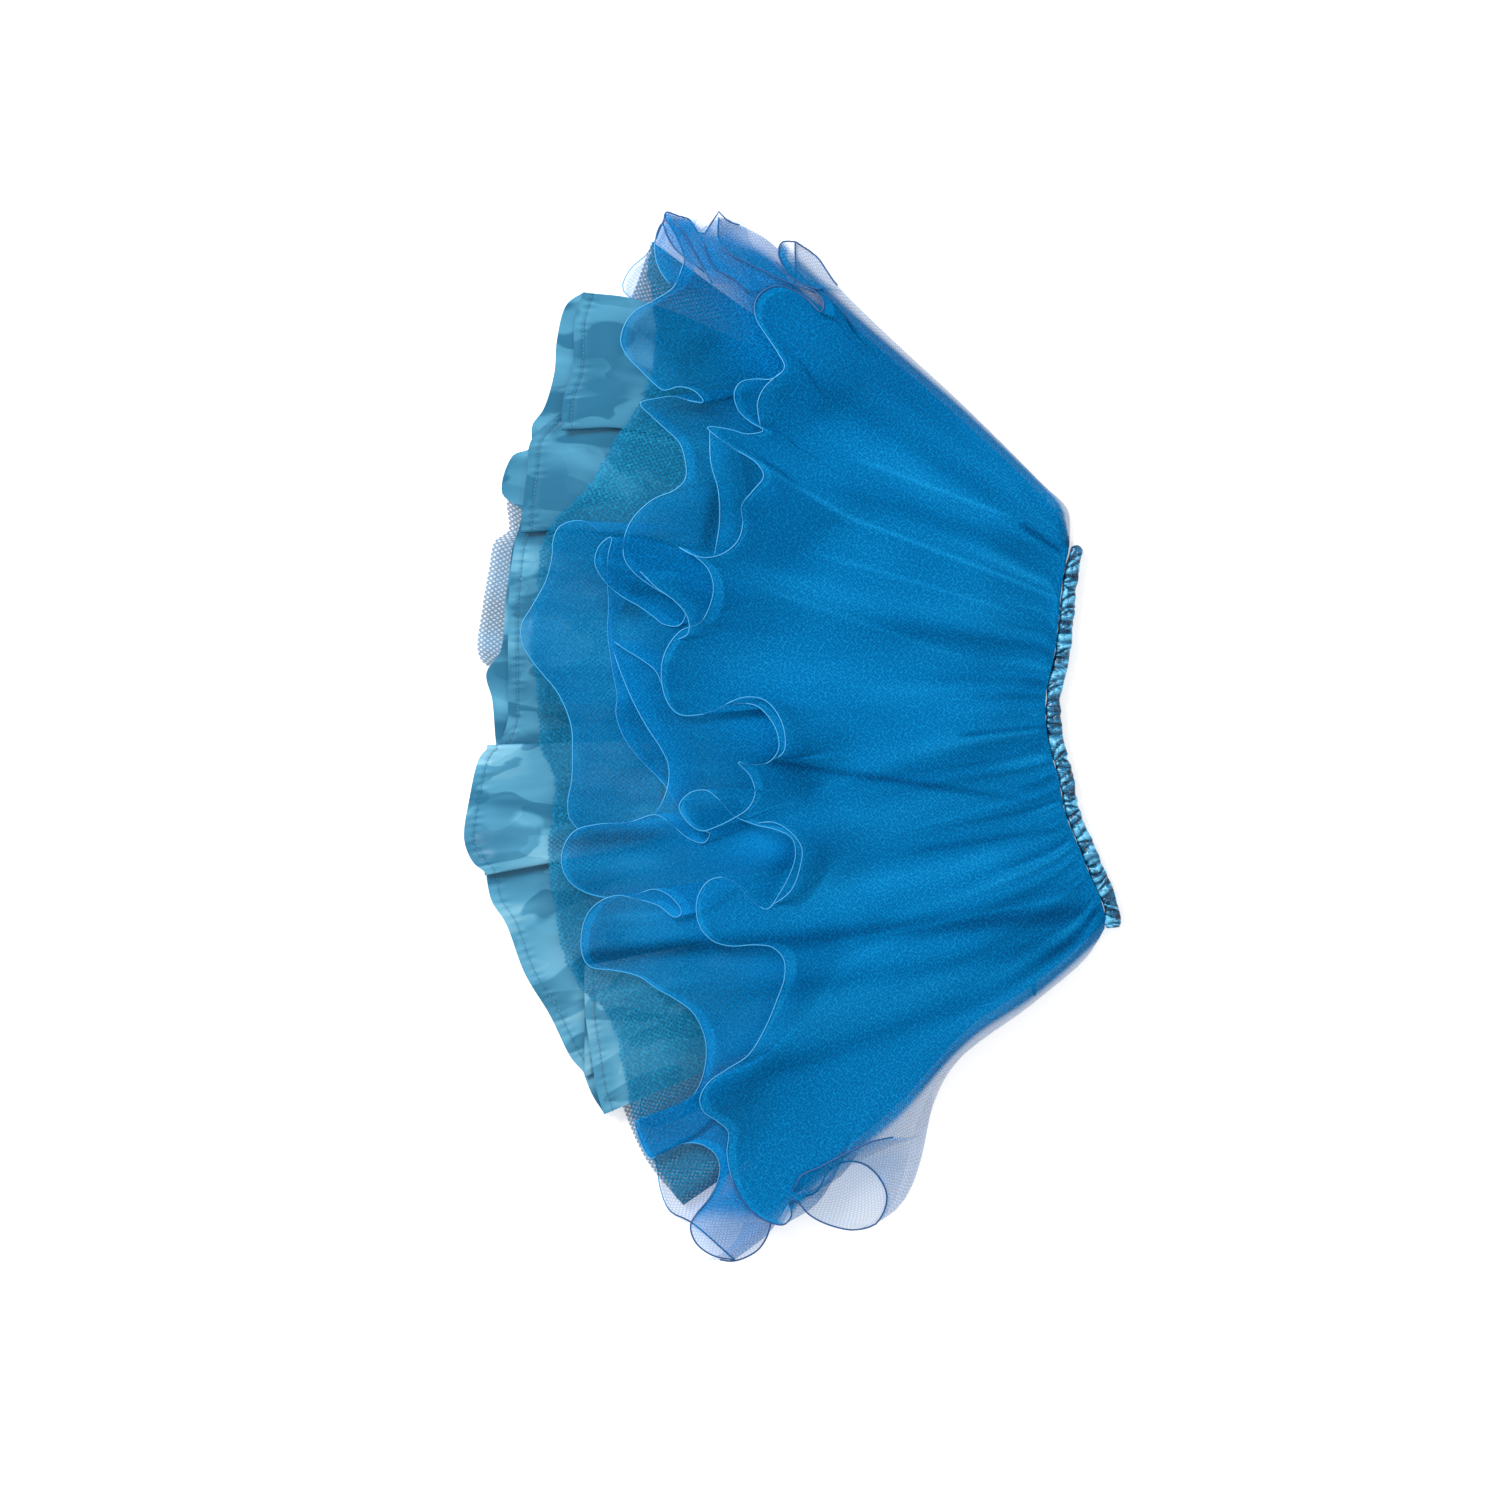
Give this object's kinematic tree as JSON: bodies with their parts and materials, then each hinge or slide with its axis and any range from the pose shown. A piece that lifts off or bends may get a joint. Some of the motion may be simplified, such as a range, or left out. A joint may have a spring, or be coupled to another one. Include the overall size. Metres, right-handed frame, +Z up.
{
  "type": "tulle skirt",
  "caption": "Gathered tulle skirt laid flat: soft tulle tubes over stiff net and a longer satin lining in knife folds, sewn to a gathered elastic waistband with ribbon hanger loops.",
  "frame": {"origin": "centre of the laid skirt's box in plan, on the table surface that it lies on", "axes": "+X from the hem to the waistband, +Y across the skirt to one side fold, +Z up off the table, out of the front"},
  "size_m": [0.5394, 0.8576, 0.0345],
  "materials": {
    "outer_tulle": "soft fine polyester tulle, matt, see-through",
    "inner_tulle": "soft fine polyester tulle, matt, see-through",
    "coarse_net": "stiff coarse nylon net, raw cut",
    "satin": "glossy polyester satin",
    "waistband": "glossy satin casing gathered over elastic",
    "ribbon": "narrow woven satin ribbon"
  },
  "bodies": {
    "root": {"back_outer_tulle": "outer_tulle", "back_inner_tulle": "inner_tulle", "back_net": "coarse_net", "back_lining": "satin", "front_lining": "satin", "front_net": "coarse_net", "front_inner_tulle": "inner_tulle", "front_outer_tulle": "outer_tulle", "waistband_back": "waistband", "waistband_front": "waistband", "hanger_ribbon_upper_a": "ribbon", "hanger_ribbon_upper_b": "ribbon", "hanger_ribbon_lower": "ribbon"}
  },
  "joints": []
}
